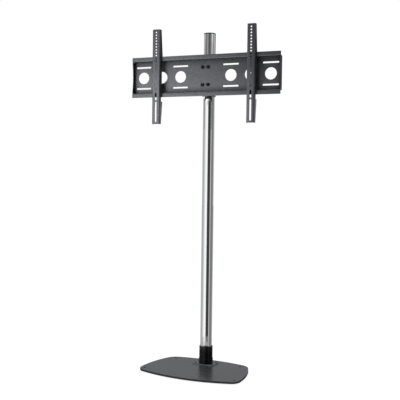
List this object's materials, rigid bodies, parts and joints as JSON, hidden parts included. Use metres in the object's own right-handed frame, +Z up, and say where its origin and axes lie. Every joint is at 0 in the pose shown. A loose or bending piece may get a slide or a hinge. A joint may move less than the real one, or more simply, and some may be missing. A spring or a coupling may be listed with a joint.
{
  "type": "tv stand with mount",
  "caption": "Floor stand for a flat screen: steel foot plate on levelling feet, chromed pole, and a height-adjustable head with a slotted carrier plate and hook-on arms.",
  "frame": {"origin": "on the floor, under the middle of the stand's outline", "axes": "+Z up along the pole, the screen side faces -Y, the carrier plate runs along X"},
  "size_m": [0.789, 0.365, 1.7297],
  "materials": {
    "grey_coat": "satin grey powder coat",
    "black_coat": "semi-gloss black powder coat",
    "chrome": "mirror-bright chrome plating",
    "dark_steel": "black zinc plating",
    "plain_steel": "bright zinc plating",
    "black_plastic": "fine matt",
    "pad_rubber": "matt"
  },
  "bodies": {
    "base": {"base_plate": "grey_coat", "socket_flange": "grey_coat", "flange_screw_1": "grey_coat", "flange_screw_2": "grey_coat", "flange_screw_3": "grey_coat", "flange_screw_4": "grey_coat", "socket_tube": "black_coat", "socket_foot_ring": "black_coat", "lower_socket_grub": "dark_steel", "upper_socket_grub": "dark_steel", "pole_tube": "chrome", "pole_plug": "plain_steel", "pole_bolt": "dark_steel", "pole_cap": "black_plastic"},
    "front_left_foot": {"front_left_foot_stud": "dark_steel", "front_left_foot_pad": "pad_rubber"},
    "front_right_foot": {"front_right_foot_stud": "dark_steel", "front_right_foot_pad": "pad_rubber"},
    "back_left_foot": {"back_left_foot_stud": "dark_steel", "back_left_foot_pad": "pad_rubber"},
    "back_right_foot": {"back_right_foot_stud": "dark_steel", "back_right_foot_pad": "pad_rubber"},
    "carriage": {"stop_ring": "black_coat", "stop_ring_grub": "dark_steel"},
    "head": {"sleeve": "black_coat", "bracket": "black_coat", "carrier_plate": "grey_coat", "upper_left_plate_screw": "dark_steel", "upper_left_plate_washer": "plain_steel", "upper_left_plate_nut": "plain_steel", "upper_right_plate_screw": "dark_steel", "upper_right_plate_washer": "plain_steel", "upper_right_plate_nut": "plain_steel", "lower_left_plate_screw": "dark_steel", "lower_left_plate_washer": "plain_steel", "lower_left_plate_nut": "plain_steel", "lower_right_plate_screw": "dark_steel", "lower_right_plate_washer": "plain_steel", "lower_right_plate_nut": "plain_steel", "upper_lock_nut": "dark_steel", "lower_lock_nut": "dark_steel"},
    "upper_lock": {"upper_lock_bolt": "dark_steel"},
    "lower_lock": {"lower_lock_bolt": "dark_steel"},
    "left_arm": {"left_arm_channel": "grey_coat", "left_hook_strip": "grey_coat"},
    "left_lock": {"left_arm_lock": "dark_steel"},
    "right_arm": {"right_arm_channel": "grey_coat", "right_hook_strip": "grey_coat"},
    "right_lock": {"right_arm_lock": "dark_steel"}
  },
  "joints": [
    {"name": "head_height", "type": "slide", "parent": "base", "child": "carriage", "axis": [0, 0, 1], "range_m": [-1.2, 0.13]},
    {"name": "head_swivel", "type": "hinge", "parent": "carriage", "child": "head", "pos_m": [0, 0.10493, 1.4914], "axis": [0, 0, 1], "continuous": true},
    {"name": "left_arm_slide", "type": "slide", "parent": "head", "child": "left_arm", "axis": [-1, 0, 0], "range_m": [-0.2, 0.115]},
    {"name": "right_arm_slide", "type": "slide", "parent": "head", "child": "right_arm", "axis": [1, 0, 0], "range_m": [-0.2, 0.115]},
    {"name": "left_arm_lock_slide", "type": "slide", "parent": "left_arm", "child": "left_lock", "axis": [0, 1, 0], "range_m": [0, 0.004]},
    {"name": "right_arm_lock_slide", "type": "slide", "parent": "right_arm", "child": "right_lock", "axis": [0, 1, 0], "range_m": [0, 0.004]},
    {"name": "upper_lock_slide", "type": "slide", "parent": "head", "child": "upper_lock", "axis": [0, 1, 0], "range_m": [0, 0.005]},
    {"name": "lower_lock_slide", "type": "slide", "parent": "head", "child": "lower_lock", "axis": [0, 1, 0], "range_m": [0, 0.005]},
    {"name": "front_left_foot_height", "type": "slide", "parent": "base", "child": "front_left_foot", "axis": [0, 0, -1], "range_m": [0, 0.008]},
    {"name": "front_right_foot_height", "type": "slide", "parent": "base", "child": "front_right_foot", "axis": [0, 0, -1], "range_m": [0, 0.008]},
    {"name": "back_left_foot_height", "type": "slide", "parent": "base", "child": "back_left_foot", "axis": [0, 0, -1], "range_m": [0, 0.008]},
    {"name": "back_right_foot_height", "type": "slide", "parent": "base", "child": "back_right_foot", "axis": [0, 0, -1], "range_m": [0, 0.008]}
  ]
}
